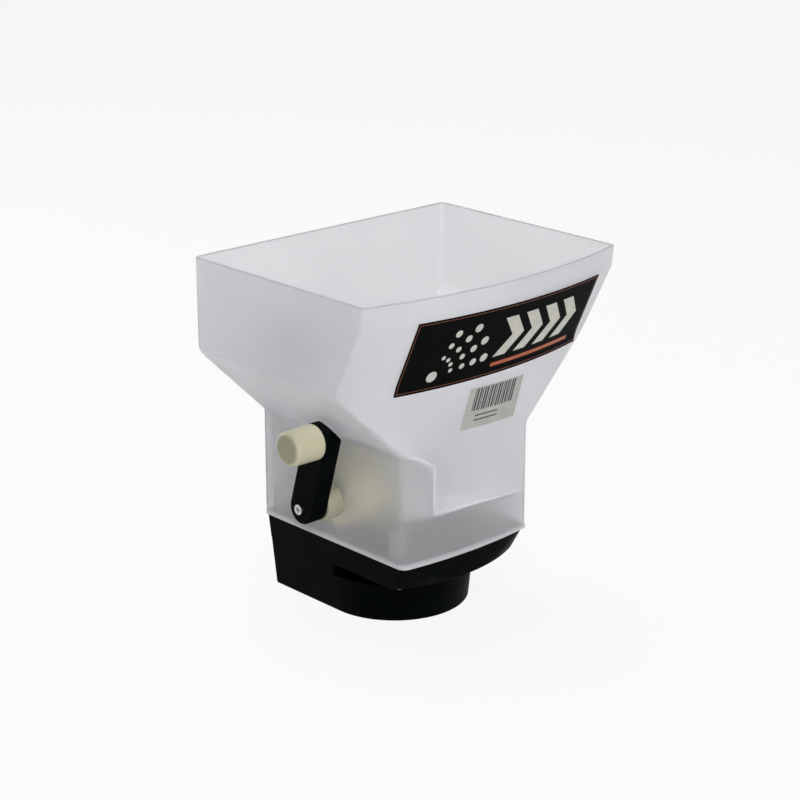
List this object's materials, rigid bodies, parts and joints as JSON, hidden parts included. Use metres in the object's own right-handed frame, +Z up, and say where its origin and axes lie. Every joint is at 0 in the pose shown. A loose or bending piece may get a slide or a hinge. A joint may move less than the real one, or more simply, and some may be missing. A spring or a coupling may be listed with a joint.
{
  "type": "hand spreader",
  "caption": "Hand-cranked spreader: an open translucent hopper on a black base, with a gear-driven throwing disc, a feed gate and a rear squeeze handle.",
  "frame": {"origin": "on the flat underside of the base, under the throwing disc's axis", "axes": "+Z up along the disc's axis, -Y to the front with the bowed hopper wall, -X to the side with the crank, +Y to the rear handle"},
  "size_m": [0.2416, 0.2535, 0.2655],
  "materials": {
    "milky_plastic": "milky see-through moulded polypropylene, satin",
    "black_plastic": "black moulded plastic, satin",
    "ivory_plastic": "ivory moulded nylon, soft gloss",
    "bright_steel": "bright zinc-plated steel"
  },
  "bodies": {
    "root": {"hopper": "milky_plastic", "hopper_floor": "milky_plastic", "base_housing": "black_plastic", "base_pan": "black_plastic", "cover_bush": "black_plastic", "deck_bush": "ivory_plastic", "thrust_washer": "bright_steel", "handle_left": "black_plastic", "handle_right": "black_plastic", "trigger_pin": "bright_steel", "trigger_spring": "bright_steel", "handle_screws": "bright_steel", "mount_screws": "bright_steel", "hopper_screws": "bright_steel", "floor_screws": "bright_steel", "pan_screws": "bright_steel"},
    "crank": {"crank_gear": "ivory_plastic", "crank_shaft": "bright_steel", "crank_arm": "black_plastic", "crank_screw": "bright_steel", "agitator": "black_plastic", "crank_pins": "bright_steel"},
    "crank_knob": {"knob": "ivory_plastic", "knob_screw": "bright_steel"},
    "spinner": {"impeller_shaft": "bright_steel", "pinion": "ivory_plastic", "impeller": "black_plastic", "spinner_pins": "bright_steel"},
    "trigger_lever": {"trigger": "black_plastic"},
    "gate_plate": {"gate": "black_plastic"},
    "rate_slider": {"rate_plate": "black_plastic"}
  },
  "joints": [
    {"name": "crank_spin", "type": "hinge", "parent": "root", "child": "crank", "pos_m": [0, 0, 0.09], "axis": [1, 0, 0], "continuous": true},
    {"name": "knob_spin", "type": "hinge", "parent": "crank", "child": "crank_knob", "pos_m": [-0.09, -0.01599, 0.14502], "axis": [1, 0, 0], "continuous": true},
    {"name": "impeller_spin", "type": "hinge", "parent": "root", "child": "spinner", "pos_m": [0, 0, 0], "axis": [0, 0, 1], "continuous": true},
    {"name": "trigger_pull", "type": "hinge", "parent": "root", "child": "trigger_lever", "pos_m": [0, 0.111, 0.174], "axis": [1, 0, 0], "range_deg": [0, 8.8], "stiffness_Nm_per_rad": 1.2, "springref_deg": -8.59},
    {"name": "gate_slide", "type": "slide", "parent": "root", "child": "gate_plate", "axis": [0, 1, 0], "range_m": [0, 0.02]},
    {"name": "rate_slide", "type": "slide", "parent": "root", "child": "rate_slider", "axis": [0, 1, 0], "range_m": [-0.014, 0]}
  ],
  "couplings": [
    {"joint": "impeller_spin", "follows": "crank_spin", "ratio": -3},
    {"joint": "gate_slide", "follows": "trigger_pull", "m_per_rad": 0.13012}
  ]
}
